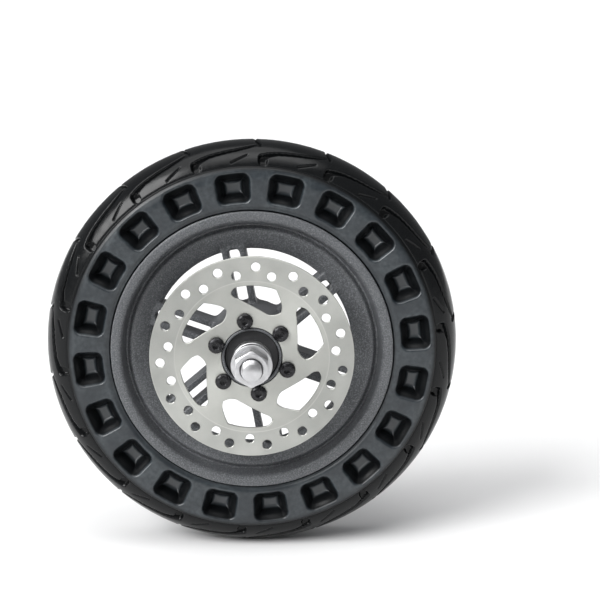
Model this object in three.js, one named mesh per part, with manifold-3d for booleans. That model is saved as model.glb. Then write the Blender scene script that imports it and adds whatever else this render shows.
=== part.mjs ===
// Unpowered rear wheel of a kick scooter: a solid pocketed tyre on a cast twin-bar rim, with a drilled
// brake disc and two sealed ball bearings on a fixed threaded axle. Units are millimetres and +Z is up.
// The wheel turns about Y. The origin is on the axle, half way across the tyre, and the disc is on -Y.
// Angles are in degrees from +X towards +Z.

import * as THREE from 'three';
import { mergeVertices } from 'three/addons/utils/BufferGeometryUtils.js';
import Module from 'manifold-3d';

const wasm = await Module();
wasm.setup();

const GAP = 0.3; // clearance left between neighbouring pieces
const OVERRUN = 1; // how far a cutter reaches past the face it cuts

const tyre = {
  radius: 123.8,
  crownCentre: 102.2, // the crown is an arc about this radius
  shoulderY: 20.2,
  halfWidth: 23,
  // [radius, y] from the foot inside the rim, out past the bead and up the sidewall
  side: [[79.4, 12.6], [84.3, 20.2], [84.3, 21.2], [88.4, 22.8], [98, 23], [105.2, 22.5]],
  crownSteps: 3,
  segments: 48,
};
const pocket = {
  count: 20,
  phase: 6.2,
  middle: 97.6,
  mouth: { radial: 18, wide: 20.8 },
  floor: { radial: 9, wide: 9 },
  depth: 10,
};

const rim = {
  crest: { r: 72.5, y: 16.3 },
  // [radius, y] from the groove beside the crest, over the flange and down to the tyre seat
  flange: [
    [74, 14],
    [75.2, 14.2],
    [77, 20.6],
    [79.4, 23.4],
    [83.3, 23.4],
    [83.9, 22.8],
    [83.9, 20.6],
    [79, 13],
  ],
  lip: { r: 60, front: 11, back: 3.2 },
  bore: { r: 67, y: 1.5, backR: 70.2 },
  segments: 48,
};
const spoke = {
  count: 6,
  phase: 100.3,
  front: -12.5,
  back: 4,
  halfWidth: 7.2,
  slotHalf: 3.3,
  slotEnd: 61,
  inner: 20,
  outer: 69,
};
const hub = {
  radius: 26.5,
  discFace: -36.2,
  spigot: { r: 17.5, y: -38.2 },
  waist: { r: 21, y: 12 },
  farEnd: { r: 19.5, y: 36 },
  mouth: 16,
  shoulder: 11.6,
  segments: 36,
};
const disc = { radius: 60, thickness: 1.8, bore: 17.8, segments: 72 };
const discHoles = [
  { count: 15, phase: 111.3, radius: 53.8, hole: 2.75 },
  { count: 15, phase: 124.3, radius: 49.3, hole: 2.7 },
];
const discWindow = {
  count: 6,
  outer: 42.7,
  from: 190.5,
  to: 221.5,
  // the rest of the outline as [radius, angle] pairs: a control point, then where the curve ends
  curves: [
    [[42.2, 225.5], [40.2, 227.2]],
    [[37.6, 227.5], [35.6, 222.5]],
    [[31, 210], [27.1, 190]],
    [[27.6, 182], [31.5, 177.5]],
    [[33.5, 178], [35.5, 180.5]],
  ],
};
const discBolt = {
  count: 6,
  phase: 100.3,
  circle: 22,
  shank: 2.5,
  length: 12,
  point: 0.5,
  socket: 1.75,
  headHeight: 2.75,
  // [radius, height above the seat] of the button head, from its flat top down to its edge
  head: [[2.4, 2.75], [3.9, 2.05], [4.8, 0.7]],
};

const axle = { radius: 5.85, halfLength: 75, chamfer: 1.2 };
const bearing = {
  middle: 28,
  halfWidth: 4,
  outer: 14,
  bore: 6.15,
  pitch: 10,
  ball: 2.38,
  balls: 8,
  outerLand: 11.8,
  innerLand: 8.2,
};
const seal = { inner: 8.6, outer: 11.5, from: 2.8, to: 3.8 };
const cage = { inner: 9.5, outer: 10.5, halfWidth: 2.1 };
const spacer = { outer: 8 };
const bush = { outer: 9, seat: 50, collar: 11.5, collarStart: 42 };
const dustCap = { inner: 9.6, outer: 15.7, from: 33.3, to: 35.5 };
const dropout = 6; // thickness of the frame plate that goes between each bush and its washer
const washer = { outer: 12, thickness: 2 };
const nut = { acrossFlats: 19, thickness: 10, chamfer: 1 };

const finish = {
  rubber: { color: 0x23262a, roughness: 0.62, metalness: 0 },
  casting: { color: 0x3c3e42, roughness: 0.55, metalness: 0.3 },
  stainless: { color: 0xb7b5ac, roughness: 0.35, metalness: 1 },
  blackSteel: { color: 0x141416, roughness: 0.35, metalness: 0.6 },
  bearingSteel: { color: 0xc4c6c8, roughness: 0.2, metalness: 1 },
  zinc: { color: 0xa9abad, roughness: 0.4, metalness: 1 },
  nitrile: { color: 0x1a1a1b, roughness: 0.7, metalness: 0 },
};

const sides = [
  { name: 'disc_side', sign: -1 },
  { name: 'far_side', sign: 1 },
];
const wheel = new THREE.Group();

// ---------- geometry helpers ----------

const radians = THREE.MathUtils.degToRad;

// A closed ring or a turned piece about Y. The outline is [radius, y] pairs, counter-clockwise.
function turned(outline, segments) {
  return new THREE.LatheGeometry(outline.map(([r, y]) => new THREE.Vector2(r, y)), segments);
}

function ring(inner, outer, low, high, segments) {
  return turned([[inner, low], [outer, low], [outer, high], [inner, high], [inner, low]], segments);
}

// A flat plate whose outline is drawn in X and Z, from front to back along Y.
function plate(shape, front, back, curveSegments = 6) {
  const options = { depth: back - front, bevelEnabled: false, curveSegments };
  const geometry = new THREE.ExtrudeGeometry(shape, options);
  return geometry.rotateX(Math.PI / 2).translate(0, back, 0);
}

// Turns a geometry about the wheel axis by an angle counted from +X towards +Z.
function turn(geometry, angle) {
  return geometry.clone().rotateY(-radians(angle));
}

function circleAt(radius, x = 0, z = 0) {
  return new THREE.Shape().absarc(x, z, radius, 0, 2 * Math.PI, false);
}

function polar(radius, angle) {
  return new THREE.Vector2(radius * Math.cos(radians(angle)), radius * Math.sin(radians(angle)));
}

// A solid for cutting and joining, from a closed geometry.
function solid(geometry) {
  const bare = new THREE.BufferGeometry();
  bare.setAttribute('position', geometry.getAttribute('position'));
  bare.setIndex(geometry.getIndex());
  const merged = mergeVertices(bare, 1e-4);
  const index = merged.getIndex().array;
  const triangles = [];
  for (let i = 0; i < index.length; i += 3) {
    const [a, b, c] = index.slice(i, i + 3);
    if (a !== b && b !== c && c !== a) triangles.push(a, b, c);
  }
  const vertProperties = merged.getAttribute('position').array;
  const triVerts = Uint32Array.from(triangles);
  return new wasm.Manifold(new wasm.Mesh({ numProp: 3, vertProperties, triVerts }));
}

function join(geometries) {
  return geometries.map(solid).reduce((whole, piece) => whole.add(piece));
}

function geometryOf(manifold) {
  const mesh = manifold.getMesh();
  const geometry = new THREE.BufferGeometry();
  geometry.setAttribute('position', new THREE.BufferAttribute(mesh.vertProperties, 3));
  geometry.setIndex(new THREE.BufferAttribute(mesh.triVerts, 1));
  geometry.computeVertexNormals();
  return geometry;
}

function addPiece(name, geometry, look, mirrored = false) {
  const mesh = new THREE.Mesh(geometry, new THREE.MeshStandardMaterial(look));
  mesh.name = name;
  if (mirrored) mesh.rotation.z = Math.PI;
  wheel.add(mesh);
}

// ---------- tyre ----------

function tyreOutline() {
  const half = [...tyre.side];
  const crown = tyre.radius - tyre.crownCentre;
  const start = Math.asin(tyre.shoulderY / crown);
  for (let i = 0; i < tyre.crownSteps; i += 1) {
    const angle = start * (1 - i / tyre.crownSteps);
    half.push([tyre.crownCentre + crown * Math.cos(angle), crown * Math.sin(angle)]);
  }
  const near = half.map(([r, y]) => [r, -y]);
  return [...near, [tyre.radius, 0], ...half.reverse(), near[0]];
}

// A four-sided funnel, wide at the sidewall, cut into the tyre along Y.
function pocketCutter(sign) {
  const mouthY = tyre.halfWidth + OVERRUN;
  const slope = pocket.floor.radial / pocket.mouth.radial;
  const mouthGrowth = 1 + (OVERRUN * (1 - slope)) / pocket.depth;
  const across = Math.SQRT1_2;
  const funnel = new THREE.CylinderGeometry(across * mouthGrowth, across * slope, pocket.depth + OVERRUN, 4);
  funnel.rotateY(Math.PI / 4).scale(pocket.mouth.radial, 1, pocket.mouth.wide);
  funnel.translate(pocket.middle, mouthY - (pocket.depth + OVERRUN) / 2, 0);
  return sign > 0 ? funnel : funnel.rotateX(Math.PI);
}

function makeTyre() {
  let body = solid(turned(tyreOutline(), tyre.segments));
  for (const { sign } of sides) {
    for (let i = 0; i < pocket.count; i += 1) {
      body = body.subtract(solid(turn(pocketCutter(sign), pocket.phase + (i * 360) / pocket.count)));
    }
  }
  addPiece('tyre', geometryOf(body), finish.rubber);
}

// ---------- rim casting: barrel, twin-bar spokes and hub ----------

function rimOutline() {
  const { crest, flange, lip, bore } = rim;
  const face = [[crest.r, crest.y], ...flange];
  const near = face.map(([r, y]) => [r, -y]);
  const start = [lip.r, -lip.front];
  const inside = [[bore.backR, crest.y], [bore.r, -bore.y], [lip.r, -lip.back]];
  return [start, ...near, ...face.reverse(), ...inside, start];
}

function hubOutline() {
  const seatEnd = dustCap.from - GAP;
  const shoulderY = bearing.middle - bearing.halfWidth - GAP;
  const seat = bearing.outer + GAP;
  return [
    [hub.mouth, hub.spigot.y],
    [hub.spigot.r, hub.spigot.y],
    [hub.spigot.r, hub.discFace],
    [hub.radius, hub.discFace],
    [hub.radius, spoke.back],
    [hub.waist.r, hub.waist.y],
    [hub.farEnd.r, hub.farEnd.y],
    [hub.mouth, hub.farEnd.y],
    [hub.mouth, seatEnd],
    [seat, seatEnd],
    [seat, shoulderY],
    [hub.shoulder, shoulderY],
    [hub.shoulder, -shoulderY],
    [seat, -shoulderY],
    [seat, -seatEnd],
    [hub.mouth, -seatEnd],
    [hub.mouth, hub.spigot.y],
  ];
}

// Two bars along +X with a slot between them that ends in a round arch below the rim.
function spokeShape() {
  const { inner, outer, halfWidth, slotHalf, slotEnd } = spoke;
  const shape = new THREE.Shape();
  shape.moveTo(inner, -halfWidth).lineTo(outer, -halfWidth).lineTo(outer, halfWidth).lineTo(inner, halfWidth);
  shape.closePath();
  const slot = new THREE.Path();
  const archCentre = slotEnd - slotHalf;
  slot.moveTo(inner + OVERRUN, slotHalf).lineTo(archCentre, slotHalf);
  slot.absarc(archCentre, 0, slotHalf, Math.PI / 2, -Math.PI / 2, true);
  slot.lineTo(inner + OVERRUN, -slotHalf).closePath();
  shape.holes.push(slot);
  return shape;
}

function boltHoles(front, back) {
  const hole = discBolt.shank + GAP;
  const holes = [];
  for (let i = 0; i < discBolt.count; i += 1) {
    const centre = polar(discBolt.circle, discBolt.phase + (i * 360) / discBolt.count);
    holes.push(plate(circleAt(hole, centre.x, centre.y), front, back, 5));
  }
  return holes;
}

function makeRimCasting() {
  const bars = plate(spokeShape(), spoke.front, spoke.back, 6);
  const spokes = [];
  for (let i = 0; i < spoke.count; i += 1) {
    spokes.push(turn(bars, spoke.phase + (i * 360) / spoke.count));
  }
  const holeDepth = hub.discFace + discBolt.length - disc.thickness + OVERRUN;
  const hubBore = plate(circleAt(hub.shoulder + GAP), spoke.front, spoke.back, 12);
  const spider = join(spokes).subtract(solid(hubBore));
  const casting = join([turned(rimOutline(), rim.segments), turned(hubOutline(), hub.segments)]).add(spider);
  const drilled = casting.subtract(join(boltHoles(hub.discFace - OVERRUN, holeDepth)));
  addPiece('rim_casting', geometryOf(drilled), finish.casting);
}

// ---------- brake disc and its bolts ----------

// One of the six swept windows of the disc, between the friction band and the bolt circle.
function windowShape() {
  const { outer, from, to, curves } = discWindow;
  const shape = new THREE.Shape();
  shape.absarc(0, 0, outer, radians(from), radians(to), false);
  for (const [bend, tip] of curves) {
    const control = polar(...bend);
    const end = polar(...tip);
    shape.quadraticCurveTo(control.x, control.y, end.x, end.y);
  }
  shape.closePath();
  return shape;
}

function makeBrakeDisc() {
  const back = hub.discFace - GAP / 3;
  const front = back - disc.thickness;
  const cutters = boltHoles(front - OVERRUN, back + OVERRUN);
  for (const row of discHoles) {
    for (let i = 0; i < row.count; i += 1) {
      const centre = polar(row.radius, row.phase + (i * 360) / row.count);
      cutters.push(plate(circleAt(row.hole, centre.x, centre.y), front - OVERRUN, back + OVERRUN, 5));
    }
  }
  const opening = plate(windowShape(), front - OVERRUN, back + OVERRUN, 4);
  for (let i = 0; i < discWindow.count; i += 1) {
    cutters.push(turn(opening, (i * 360) / discWindow.count));
  }
  const blank = solid(ring(disc.bore, disc.radius, front, back, disc.segments));
  addPiece('brake_disc', geometryOf(blank.subtract(join(cutters))), finish.stainless);
}

// A button-head screw along Y, with a hex socket in its head.
function makeDiscBolts() {
  const seat = hub.discFace - disc.thickness - GAP;
  const { shank, head, headHeight, length, point, socket } = discBolt;
  const top = seat - headHeight;
  const tip = seat + length;
  const edge = head[head.length - 1][0];
  const outline = [
    [0, top],
    ...head.map(([r, height]) => [r, seat - height]),
    [edge, seat],
    [shank, seat],
    [shank, tip - point],
    [shank - point, tip],
    [0, tip],
  ];
  const hex = new THREE.CylinderGeometry(socket, socket, headHeight, 6).translate(0, top, 0);
  const bolt = geometryOf(solid(turned(outline, 16)).subtract(solid(hex)));
  for (let i = 0; i < discBolt.count; i += 1) {
    const centre = polar(discBolt.circle, discBolt.phase + (i * 360) / discBolt.count);
    addPiece(`disc_bolt_${i + 1}`, bolt.clone().translate(centre.x, 0, centre.y), finish.blackSteel);
  }
}

// ---------- bearings ----------

// The raceway's arc about the ball circle, as [radius, y] pairs. outward is 1 or -1.
function raceway(land, outward) {
  const reach = bearing.ball + GAP;
  const edge = Math.acos(Math.abs(land - bearing.pitch) / reach);
  const steps = 4;
  const points = [];
  for (let i = 0; i <= steps; i += 1) {
    const angle = edge * ((2 * i) / steps - 1);
    points.push([bearing.pitch + outward * reach * Math.cos(angle), reach * Math.sin(angle)]);
  }
  return points;
}

function outerRace() {
  const w = bearing.halfWidth;
  const { outer, outerLand } = bearing;
  const groove = raceway(outerLand, 1).reverse();
  return turned([[outerLand, -w], [outer, -w], [outer, w], [outerLand, w], ...groove, [outerLand, -w]], 24);
}

function innerRace() {
  const w = bearing.halfWidth;
  const { bore, innerLand } = bearing;
  const groove = raceway(innerLand, -1);
  return turned([[bore, -w], [innerLand, -w], ...groove, [innerLand, w], [bore, w], [bore, -w]], 24);
}

function ballCage() {
  const pieces = [ring(cage.inner, cage.outer, -cage.halfWidth, cage.halfWidth, 24)];
  for (let i = 0; i < bearing.balls; i += 1) {
    const ball = new THREE.SphereGeometry(bearing.ball, 8, 5).translate(bearing.pitch, 0, 0);
    pieces.push(turn(ball, (i * 360) / bearing.balls));
  }
  return geometryOf(join(pieces));
}

function makeBearings() {
  for (const { name, sign } of sides) {
    const y = sign * bearing.middle;
    addPiece(`bearing_outer_race_${name}`, outerRace().translate(0, y, 0), finish.bearingSteel);
    addPiece(`bearing_inner_race_${name}`, innerRace().translate(0, y, 0), finish.bearingSteel);
    addPiece(`bearing_ball_cage_${name}`, ballCage().translate(0, y, 0), finish.bearingSteel);
    for (const [place, direction] of [['outboard', sign], ['inboard', -sign]]) {
      const low = Math.min(direction * seal.from, direction * seal.to);
      const disk = ring(seal.inner, seal.outer, y + low, y + low + seal.to - seal.from, 24);
      addPiece(`bearing_seal_${place}_${name}`, disk, finish.nitrile);
    }
  }
}

// ---------- axle and what is threaded on it ----------

function makeAxle() {
  const { radius, halfLength, chamfer } = axle;
  const outline = [
    [0, -halfLength],
    [radius - chamfer, -halfLength],
    [radius, chamfer - halfLength],
    [radius, halfLength - chamfer],
    [radius - chamfer, halfLength],
    [0, halfLength],
  ];
  addPiece('axle', turned(outline, 32), finish.zinc);
  const innerEnd = bearing.middle - bearing.halfWidth - GAP;
  addPiece('bearing_spacer', ring(bearing.bore, spacer.outer, -innerEnd, innerEnd, 32), finish.zinc);
}

function bushOutline() {
  const start = bearing.middle + bearing.halfWidth + GAP;
  const { outer, collar, collarStart, seat } = bush;
  return [
    [bearing.bore, start],
    [outer - 1, start],
    [outer, start + 1],
    [outer, collarStart],
    [collar, collarStart + 1.5],
    [collar, seat],
    [bearing.bore, seat],
    [bearing.bore, start],
  ];
}

function hexNut(start) {
  const corner = nut.acrossFlats / Math.sqrt(3);
  const flat = nut.acrossFlats / 2;
  const { chamfer, thickness } = nut;
  const body = new THREE.CylinderGeometry(corner, corner, thickness, 6);
  const profile = [
    [0, 0],
    [flat, 0],
    [corner, chamfer],
    [corner, thickness - chamfer],
    [flat, thickness],
    [0, thickness],
  ];
  const envelope = turned(profile, 36);
  const hole = new THREE.CylinderGeometry(bearing.bore, bearing.bore, thickness + 2 * OVERRUN, 24);
  const shaped = solid(body.translate(0, thickness / 2, 0)).intersect(solid(envelope));
  return geometryOf(shaped.subtract(solid(hole.translate(0, thickness / 2, 0)))).translate(0, start, 0);
}

function makeAxleHardware() {
  const washerStart = bush.seat + dropout;
  const washerEnd = washerStart + washer.thickness;
  for (const { name, sign } of sides) {
    const mirrored = sign < 0;
    const cap = ring(dustCap.inner, dustCap.outer, dustCap.from, dustCap.to, 36);
    const flatRing = ring(bearing.bore, washer.outer, washerStart, washerEnd, 36);
    addPiece(`axle_bush_${name}`, turned(bushOutline(), 32), finish.zinc, mirrored);
    addPiece(`dust_cap_${name}`, cap, finish.nitrile, mirrored);
    addPiece(`washer_${name}`, flatRing, finish.zinc, mirrored);
    addPiece(`axle_nut_${name}`, hexNut(washerEnd + GAP), finish.zinc, mirrored);
  }
}

makeTyre();
makeRimCasting();
makeBrakeDisc();
makeDiscBolts();
makeBearings();
makeAxle();
makeAxleHardware();

export default wheel;
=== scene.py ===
"""The finished looks of a kick scooter's rear wheel: pocketed tyre, cast rim, brake disc, axle.

Every piece is in metres in the frame's own axes: the wheel turns about Y, the disc is on -Y and
+Z is up. Sizes of the wheel are in millimetres here and go through MM; the floor, lights and camera
are in metres. Angles are in degrees from +X towards +Z.
"""

import math

import bmesh
import bpy
import numpy as np
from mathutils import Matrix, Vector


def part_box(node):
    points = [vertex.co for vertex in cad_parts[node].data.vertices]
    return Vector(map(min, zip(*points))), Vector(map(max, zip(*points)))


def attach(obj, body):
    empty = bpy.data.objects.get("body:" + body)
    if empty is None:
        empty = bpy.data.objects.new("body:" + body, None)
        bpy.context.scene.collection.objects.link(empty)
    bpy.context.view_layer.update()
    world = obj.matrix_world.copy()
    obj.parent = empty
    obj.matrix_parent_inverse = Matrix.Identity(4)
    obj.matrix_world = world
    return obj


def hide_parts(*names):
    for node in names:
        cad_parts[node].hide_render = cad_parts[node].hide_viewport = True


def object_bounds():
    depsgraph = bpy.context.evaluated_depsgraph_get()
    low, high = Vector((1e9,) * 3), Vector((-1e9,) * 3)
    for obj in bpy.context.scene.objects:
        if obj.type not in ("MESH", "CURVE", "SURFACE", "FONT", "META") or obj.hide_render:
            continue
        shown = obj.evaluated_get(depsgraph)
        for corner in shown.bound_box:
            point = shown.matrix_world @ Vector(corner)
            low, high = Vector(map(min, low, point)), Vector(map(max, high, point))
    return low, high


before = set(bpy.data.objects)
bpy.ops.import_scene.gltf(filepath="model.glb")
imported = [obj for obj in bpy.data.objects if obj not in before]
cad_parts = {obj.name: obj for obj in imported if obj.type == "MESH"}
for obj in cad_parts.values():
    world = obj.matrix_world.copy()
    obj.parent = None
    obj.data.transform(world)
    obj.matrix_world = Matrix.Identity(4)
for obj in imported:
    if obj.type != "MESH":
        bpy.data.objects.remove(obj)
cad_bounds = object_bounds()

import openvdb
from mathutils import Matrix, Vector

MM = 0.001
SIDES = {"disc_side": -1, "far_side": 1}
ARC_STEP = 15.0  # degrees of a fillet between two points
LEAST_TURN = 2.0  # a corner that turns by fewer degrees stays as it is
FILLET_SHARE = 0.49  # the most of a side that one fillet may use up


# ---------- small geometry helpers ----------


def node_size(node):
    """The size of a CAD node along X, Y and Z, in millimetres."""
    low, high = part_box(node)
    return [(high[i] - low[i]) / MM for i in range(3)]


def smoothstep(low, high, value):
    t = np.clip((value - low) / (high - low), 0.0, 1.0)
    return t * t * (3.0 - 2.0 * t)


def smooth_min(a, b, blend):
    """The smaller of two fields, rounded over where they are closer than blend."""
    h = np.clip(0.5 + 0.5 * (b - a) / blend, 0.0, 1.0)
    return b + (a - b) * h - blend * h * (1.0 - h)


def smooth_max(a, b, blend):
    return -smooth_min(-a, -b, blend)


def polar(radius, degrees):
    angle = math.radians(degrees)
    return radius * math.cos(angle), radius * math.sin(angle)


def add_object(name, mesh, material, body, replaced):
    """Shows a finished mesh, rides it on its body and hides the CAD nodes it stands for."""
    piece = bpy.data.objects.new(name, mesh)
    bpy.context.scene.collection.objects.link(piece)
    mesh.materials.append(material)
    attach(piece, body)
    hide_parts(*replaced)


def mesh_from(name, points_mm, faces):
    """A smooth mesh from points in millimetres."""
    mesh = bpy.data.meshes.new(name)
    mesh.from_pydata((np.asarray(points_mm, dtype=float) * MM).tolist(), [], faces)
    mesh.validate()
    mesh.shade_smooth()
    return mesh


def fast_mesh(name, points_mm, quads):
    """A smooth mesh from a large array of points and an array of quads."""
    mesh = bpy.data.meshes.new(name)
    mesh.vertices.add(len(points_mm))
    mesh.vertices.foreach_set("co", (np.asarray(points_mm) * MM).astype(np.float32).ravel())
    mesh.loops.add(quads.size)
    mesh.loops.foreach_set("vertex_index", quads.astype(np.int32).ravel())
    mesh.polygons.add(len(quads))
    mesh.polygons.foreach_set("loop_start", np.arange(0, quads.size, 4, dtype=np.int32))
    mesh.update(calc_edges=True)
    mesh.shade_smooth()
    return mesh


def torus_quads(rows, columns):
    """Quads of a grid of points that closes on itself both ways."""
    i, j = np.meshgrid(np.arange(rows), np.arange(columns), indexing="ij")
    i2 = (i + 1) % rows
    j2 = (j + 1) % columns
    corners = [i * columns + j, i2 * columns + j, i2 * columns + j2, i * columns + j2]
    return np.stack([c.ravel() for c in corners], axis=1)


def rounded_outline(corners):
    """Replaces each (radius, y, fillet) corner of a closed outline by an arc of that fillet."""
    outline = []
    count = len(corners)
    for k in range(count):
        here = Vector(corners[k][:2])
        before = Vector(corners[k - 1][:2]) - here
        after = Vector(corners[(k + 1) % count][:2]) - here
        fillet = corners[k][2]
        turn = math.pi - before.angle(after)
        if fillet <= 0.0 or turn < math.radians(LEAST_TURN):
            outline.append(tuple(here))
            continue
        reach = fillet * math.tan(turn / 2.0)
        limit = FILLET_SHARE * min(before.length, after.length)
        if reach > limit:
            fillet *= limit / reach
            reach = limit
        start = here + before.normalized() * reach
        end = here + after.normalized() * reach
        centre = here + (before.normalized() + after.normalized()).normalized() * (
            fillet / math.cos(turn / 2.0)
        )
        steps = max(2, round(math.degrees(turn) / ARC_STEP))
        first = start - centre
        last = end - centre
        for i in range(steps + 1):
            t = i / steps
            weight_a = math.sin((1.0 - t) * turn) / math.sin(turn)
            weight_b = math.sin(t * turn) / math.sin(turn)
            outline.append(tuple(centre + first * weight_a + last * weight_b))
    return outline


def turned_mesh(name, corners, segments):
    """A ring turned about Y from (radius, y, fillet) corners, counter-clockwise."""
    outline = np.array(rounded_outline(corners))
    angles = np.linspace(0.0, 2.0 * math.pi, segments, endpoint=False)
    radius = outline[:, 0][:, None]
    y = np.repeat(outline[:, 1][:, None], segments, 1)
    points = np.stack([radius * np.cos(angles), y, radius * np.sin(angles)], axis=2)
    quads = torus_quads(len(outline), segments)
    return fast_mesh(name, points.reshape(-1, 3), quads)


# ---------- materials ----------


class Surface:
    """A node material being put together: a Principled shader with helpers for what drives it."""

    def __init__(self, name, color, roughness, metallic=0.0):
        self.material = bpy.data.materials.new(name)
        self.material.use_nodes = True
        self.nodes = self.material.node_tree.nodes
        self.links = self.material.node_tree.links
        self.shader = self.nodes["Principled BSDF"]
        self.shader.inputs["Base Color"].default_value = (*color, 1.0)
        self.shader.inputs["Roughness"].default_value = roughness
        self.shader.inputs["Metallic"].default_value = metallic
        self.place = self.nodes.new("ShaderNodeTexCoord").outputs["Object"]

    def math(self, operation, *values):
        node = self.nodes.new("ShaderNodeMath")
        node.operation = operation
        for socket, value in zip(node.inputs, values):
            if isinstance(value, (int, float)):
                socket.default_value = value
            else:
                self.links.new(value, socket)
        return node.outputs[0]

    def noise(self, size_mm, detail=3.0, roughness=0.5, vector=None):
        """Noise whose features are about size_mm across."""
        node = self.nodes.new("ShaderNodeTexNoise")
        node.inputs["Scale"].default_value = 1.0 / (size_mm * MM)
        node.inputs["Detail"].default_value = detail
        node.inputs["Roughness"].default_value = roughness
        self.links.new(self.place if vector is None else vector, node.inputs["Vector"])
        return node.outputs["Fac"]

    def ramp(self, value, low, high, out_low=0.0, out_high=1.0):
        node = self.nodes.new("ShaderNodeMapRange")
        self.links.new(value, node.inputs["Value"])
        limits = {"From Min": low, "From Max": high, "To Min": out_low, "To Max": out_high}
        for socket, number in limits.items():
            node.inputs[socket].default_value = number
        return node.outputs["Result"]

    def fade(self, length, span_mm):
        """Goes from 0 to 1 as a length goes from the first to the second of two mm values."""
        return self.ramp(length, span_mm[0] * MM, span_mm[1] * MM)

    def mix(self, factor, first, second):
        """Mixes two colours, each a tuple or a socket."""
        node = self.nodes.new("ShaderNodeMix")
        node.data_type = "RGBA"
        self.links.new(factor, node.inputs["Factor"])
        for socket, value in zip((node.inputs[6], node.inputs[7]), (first, second)):
            if isinstance(value, tuple):
                socket.default_value = (*value, 1.0)
            else:
                self.links.new(value, socket)
        return node.outputs[2]

    def blend(self, factor, first, second):
        """Mixes two sockets that carry numbers."""
        node = self.nodes.new("ShaderNodeMix")
        sockets = (node.inputs["Factor"], node.inputs[2], node.inputs[3])
        for socket, value in zip(sockets, (factor, first, second)):
            self.links.new(value, socket)
        return node.outputs[0]

    def split_place(self):
        """The x, y and z of object coordinates, and the radius about the wheel's axis."""
        split = self.nodes.new("ShaderNodeSeparateXYZ")
        self.links.new(self.place, split.inputs[0])
        x, y, z = split.outputs
        squares = self.math("ADD", self.math("MULTIPLY", x, x), self.math("MULTIPLY", z, z))
        return x, y, z, self.math("SQRT", squares)

    def polar_place(self, turns):
        """Coordinates as (angle times a factor, radius, y) about the wheel's axis."""
        x, y, z, radius = self.split_place()
        angle = self.math("ARCTAN2", z, x)
        join = self.nodes.new("ShaderNodeCombineXYZ")
        for socket, value in zip(join.inputs, (self.math("MULTIPLY", angle, turns), radius, y)):
            self.links.new(value, socket)
        return join.outputs[0], radius

    def color(self, socket):
        self.links.new(socket, self.shader.inputs["Base Color"])

    def roughness(self, socket):
        self.links.new(socket, self.shader.inputs["Roughness"])

    def bump(self, height, distance_mm, strength=1.0, below=None):
        node = self.nodes.new("ShaderNodeBump")
        node.inputs["Strength"].default_value = strength
        node.inputs["Distance"].default_value = distance_mm * MM
        self.links.new(height, node.inputs["Height"])
        if below is not None:
            self.links.new(below, node.inputs["Normal"])
        self.links.new(node.outputs["Normal"], self.shader.inputs["Normal"])
        return node.outputs["Normal"]


TYRE_IOR = 1.62
TYRE_TONES = {
    "sidewall_dark": (0.003, 0.007, 0.011),
    "sidewall_light": (0.040, 0.050, 0.056),
    # the next two are painted shade on the pockets' walls and painted light on their floors
    "pocket_wall_painted_shade": (0.003, 0.0036, 0.0042),
    "pocket_floor_painted_light": (0.034, 0.040, 0.045),
    "tread": (0.004, 0.0045, 0.005),
}
TREAD_EDGE = (109.7, 110.6)  # radii between which the sidewall's rubber turns into the tread's
WALL_MOUTH = (22.2, 21.0)  # distances from the middle plane where a pocket's wall, and the painted shade on it, begins
WALL_FOOT = (13.4, 14.8)  # and where it ends
FLOOR_LIGHT_EDGE = (14.4, 13.4)  # and where the pocket's floor, with its painted light, begins
SIDEWALL_SHEEN, TREAD_SHEEN = 0.5, 0.16  # the second also goes for the pockets' walls


def tyre_rubber():
    """Bluish charcoal sidewall with painted shade on the pocket walls, painted light on the pocket
    floors, and a black tread.
    """
    s = Surface("tyre_rubber", (0.014, 0.017, 0.020), 0.36)
    s.shader.inputs["IOR"].default_value = TYRE_IOR
    _, y, _, radius = s.split_place()
    tread = s.fade(radius, TREAD_EDGE)
    broad = s.ramp(s.noise(16.0, 5.0, 0.6), 0.32, 0.68)
    smear = s.math("MULTIPLY", broad, s.ramp(s.noise(2.5, 3.0), 0.25, 0.7))
    sidewall = s.mix(smear, TYRE_TONES["sidewall_dark"], TYRE_TONES["sidewall_light"])
    out = s.math("ABSOLUTE", y)
    wall = s.math("MULTIPLY", s.fade(out, WALL_MOUTH), s.fade(out, WALL_FOOT))
    # painted shade: the pocket walls are coloured near black, for the shade deep in the pockets
    walls_shaded = s.mix(wall, sidewall, TYRE_TONES["pocket_wall_painted_shade"])
    # painted light: the pocket floors are coloured lighter than the sidewall, as if lit
    pockets_shaded_and_lit = s.mix(s.fade(out, FLOOR_LIGHT_EDGE), walls_shaded, TYRE_TONES["pocket_floor_painted_light"])
    s.color(s.mix(tread, pockets_shaded_and_lit, TYRE_TONES["tread"]))
    satin = s.ramp(s.noise(6.0, 4.0), 0.3, 0.7, 0.30, 0.42)
    shiny = s.ramp(s.noise(5.0, 3.0), 0.3, 0.7, 0.16, 0.26)
    s.roughness(s.blend(tread, satin, shiny))
    dull = s.math("MAXIMUM", tread, wall)
    sheen = s.ramp(dull, 0.0, 1.0, SIDEWALL_SHEEN, TREAD_SHEEN)
    s.links.new(sheen, s.shader.inputs["Specular IOR Level"])
    grain = s.bump(s.noise(0.35, 2.0), 0.02, 0.5)
    s.bump(s.noise(9.0, 3.0), 0.12, 0.35, below=grain)
    return s.material


PAINT_TONES = {
    "dark": (0.054, 0.057, 0.062),
    "light": (0.072, 0.076, 0.082),
    "grain": (0.21, 0.217, 0.228),
}


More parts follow.
